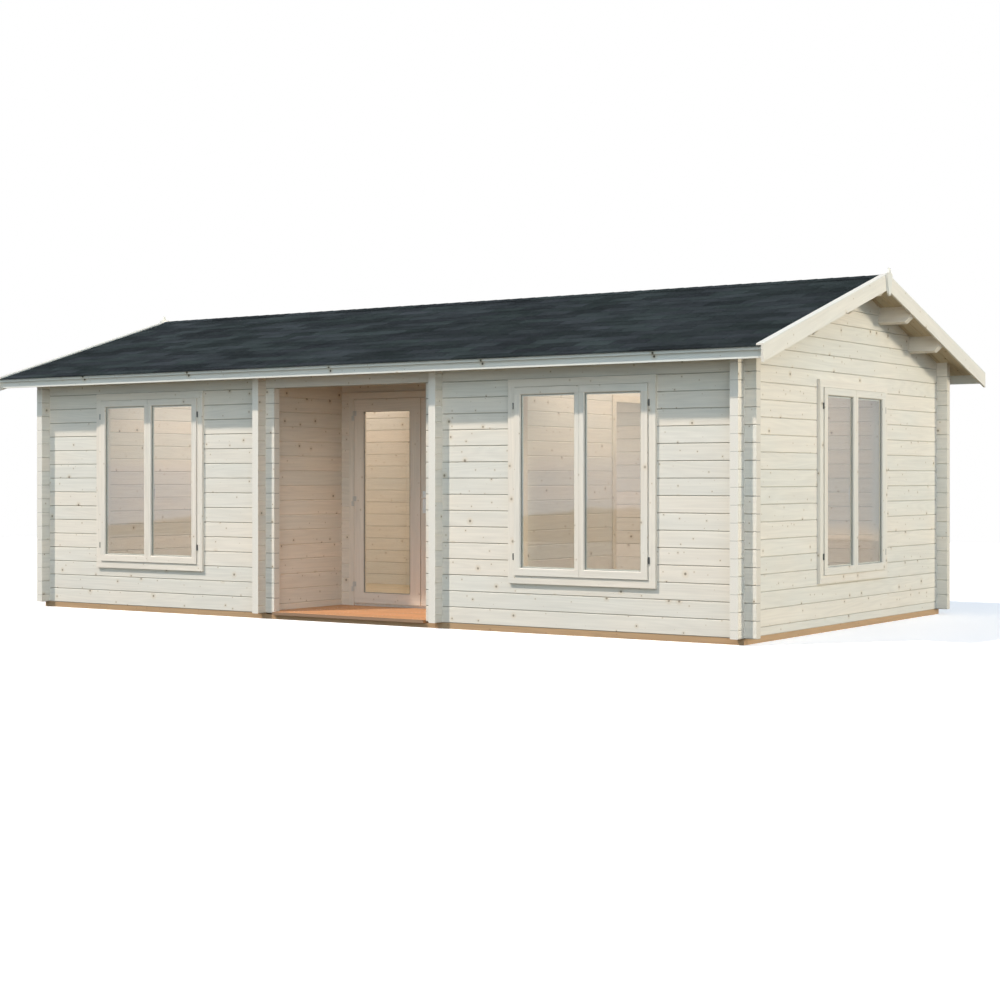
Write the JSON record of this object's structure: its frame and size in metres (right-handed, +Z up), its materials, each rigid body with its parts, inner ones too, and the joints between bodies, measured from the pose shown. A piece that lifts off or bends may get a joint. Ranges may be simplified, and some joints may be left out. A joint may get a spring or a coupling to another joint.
{
  "type": "log cottage",
  "caption": "Log cottage with a recessed central porch, a glazed double door, casement windows and a low gable roof with wide eaves.",
  "frame": {"origin": "on the ground, at the middle of the building's plan", "axes": "+X along the front to the right as seen from outside the front, +Y from the front to the back, +Z up"},
  "size_m": [8.262, 4.584, 2.9786],
  "materials": {
    "logs": "planed spruce logs, matt",
    "base_wood": "brown impregnated beams",
    "boards": "planed spruce boards",
    "deck_wood": "orange-brown oiled deck boards",
    "roofing": "dark mineral felt shingles",
    "trim": "planed spruce trim boards",
    "joinery": "planed spruce joinery",
    "glass": "clear",
    "metal": "satin"
  },
  "bodies": {
    "root": {"base_beams": "base_wood", "base_cross_beams": "base_wood", "floor_joists": "boards", "room_floors": "boards", "hall_floor": "boards", "deck_joists": "base_wood", "deck_planks": "deck_wood", "front_wall_left": "logs", "front_wall_right": "logs", "front_beam": "logs", "back_wall": "logs", "gable_wall_left": "logs", "gable_wall_right": "logs", "porch_wall_left": "logs", "porch_wall_right": "logs", "partition_rear": "logs", "partition_head": "logs", "door_wall_left": "logs", "door_wall_right": "logs", "door_wall_head": "logs", "ridge_purlin": "boards", "side_purlins": "boards", "roof_boards_front": "boards", "roof_boards_back": "boards", "roofing_front": "roofing", "roofing_back": "roofing", "fascia_boards": "trim", "barge_boards_left": "trim", "barge_boards_right": "trim", "edge_strips": "trim", "finials": "trim", "window_frame_left": "joinery", "window_frame_right": "joinery", "window_frame_gable": "joinery", "window_sashes_left": "joinery", "window_sashes_right": "joinery", "window_sashes_gable": "joinery", "window_glass_left": "glass", "window_glass_right": "glass", "window_glass_gable": "glass", "door_frame": "joinery", "passage_frame": "joinery", "door_hinges": "metal", "window_hinges": "metal"},
    "door_left": {"door_leaf_left": "joinery", "door_glass_left": "glass", "door_hinge_leaves_left": "metal"},
    "door_right": {"door_leaf_right": "joinery", "door_glass_right": "glass", "door_handle": "metal", "door_hinge_leaves_right": "metal"}
  },
  "joints": [
    {"name": "door_left_hinge", "type": "hinge", "parent": "root", "child": "door_left", "pos_m": [-0.774, -0.928, 1], "axis": [0, 0, -1], "range_deg": [0, 95]},
    {"name": "door_right_hinge", "type": "hinge", "parent": "root", "child": "door_right", "pos_m": [0.774, -0.928, 1], "axis": [0, 0, 1], "range_deg": [0, 95]}
  ]
}
